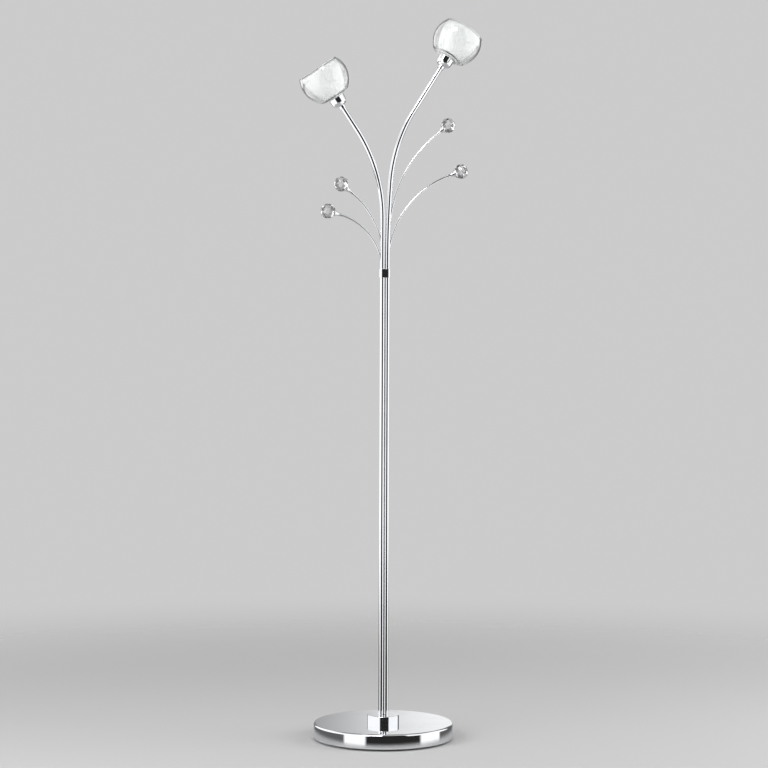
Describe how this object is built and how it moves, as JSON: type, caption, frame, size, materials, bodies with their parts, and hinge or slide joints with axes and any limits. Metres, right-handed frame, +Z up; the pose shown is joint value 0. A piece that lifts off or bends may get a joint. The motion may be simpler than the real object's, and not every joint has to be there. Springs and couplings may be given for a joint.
{
  "type": "floor lamp",
  "caption": "Tree-shaped floor lamp: weighted round base, slim tube stem, bent arms with glass shades, and thin curved rods tipped with faceted crystal balls.",
  "frame": {"origin": "centre of the foot ring, on the floor", "axes": "+Z up along the stem, +X towards the taller arm in the plane of the arms, +Y towards the cord inlet at the back"},
  "size_m": [0.3772, 0.282, 1.4521],
  "materials": {
    "chrome": "bright plated chrome",
    "zinc_steel": "zinc plated steel",
    "spring_steel": "nickel plated spring steel",
    "pin_steel": "ground steel rod",
    "cement": "cast cement",
    "brass": "turned brass",
    "foot_rubber": "matt black foam rubber",
    "black_plastic": "moulded black plastic",
    "white_plastic": "natural moulded plastic",
    "turned_aluminium": "satin turned aluminium",
    "holder_ceramic": "unglazed cream ceramic",
    "clear_silicone": "translucent silicone",
    "clear_glass": "clear, polished rim",
    "frosted_glass": "satin white frosted",
    "crystal": "clear, cut facets",
    "bulb_glass": "clear capsule",
    "bulb_metal": "bare wire",
    "lead_sheath": "silicone sheath"
  },
  "bodies": {
    "lamp": {"base_cover": "chrome", "base_collar": "chrome", "stem_tube_left": "chrome", "stem_tube_right": "chrome", "joint_sleeve": "chrome", "bottom_plate": "zinc_steel", "stem_foot": "zinc_steel", "foot_bolts": "zinc_steel", "foot_washers": "zinc_steel", "plate_screws": "zinc_steel", "earth_lug": "zinc_steel", "earth_screw": "zinc_steel", "terminal_screws": "zinc_steel", "joint_nipples": "zinc_steel", "cup_nuts": "zinc_steel", "sleeve_screws": "zinc_steel", "holder_contacts": "spring_steel", "holder_clips": "spring_steel", "base_weight": "cement", "weight_inserts": "brass", "foot_ring": "foot_rubber", "cord_gland": "black_plastic", "terminal_block": "white_plastic", "arm_tube_left": "chrome", "arm_collar_left": "chrome", "holder_cup_left": "chrome", "carrier_sleeve_left": "turned_aluminium", "lampholder_left": "holder_ceramic", "glass_gasket_left": "clear_silicone", "lead_left": "lead_sheath", "arm_tube_right": "chrome", "arm_collar_right": "chrome", "holder_cup_right": "chrome", "carrier_sleeve_right": "turned_aluminium", "lampholder_right": "holder_ceramic", "glass_gasket_right": "clear_silicone", "lead_right": "lead_sheath", "branch_rod_upper_left": "chrome", "crystal_cup_upper_left": "chrome", "crystal_ball_upper_left": "crystal", "branch_rod_lower_left": "chrome", "crystal_cup_lower_left": "chrome", "crystal_ball_lower_left": "crystal", "branch_rod_upper_right": "chrome", "crystal_cup_upper_right": "chrome", "crystal_ball_upper_right": "crystal", "branch_rod_lower_right": "chrome", "crystal_cup_lower_right": "chrome", "crystal_ball_lower_right": "crystal", "crystal_pins": "pin_steel"},
    "bulb_left": {"bulb_left": "bulb_glass", "bulb_wires_left": "bulb_metal"},
    "shade_left": {"outer_glass_left": "clear_glass", "inner_glass_left": "frosted_glass"},
    "ring_left": {"shade_ring_left": "turned_aluminium"},
    "bulb_right": {"bulb_right": "bulb_glass", "bulb_wires_right": "bulb_metal"},
    "shade_right": {"outer_glass_right": "clear_glass", "inner_glass_right": "frosted_glass"},
    "ring_right": {"shade_ring_right": "turned_aluminium"}
  },
  "joints": [
    {"name": "bulb_pull_left", "type": "slide", "parent": "lamp", "child": "bulb_left", "axis": [-0.565, 0, 0.8251], "range_m": [0, 0.07]},
    {"name": "shade_lift_left", "type": "slide", "parent": "lamp", "child": "shade_left", "axis": [-0.565, 0, 0.8251], "range_m": [0, 0.08]},
    {"name": "ring_turn_left", "type": "hinge", "parent": "shade_left", "child": "ring_left", "pos_m": [-0.10842, 0, 1.29093], "axis": [-0.565, 0, 0.8251], "range_deg": [0, 1080]},
    {"name": "bulb_pull_right", "type": "slide", "parent": "lamp", "child": "bulb_right", "axis": [0.5344, 0, 0.8453], "range_m": [0, 0.07]},
    {"name": "shade_lift_right", "type": "slide", "parent": "lamp", "child": "shade_right", "axis": [0.5344, 0, 0.8453], "range_m": [0, 0.08]},
    {"name": "ring_turn_right", "type": "hinge", "parent": "shade_right", "child": "ring_right", "pos_m": [0.13414, 0, 1.38063], "axis": [0.5344, 0, 0.8453], "range_deg": [0, 1080]}
  ]
}
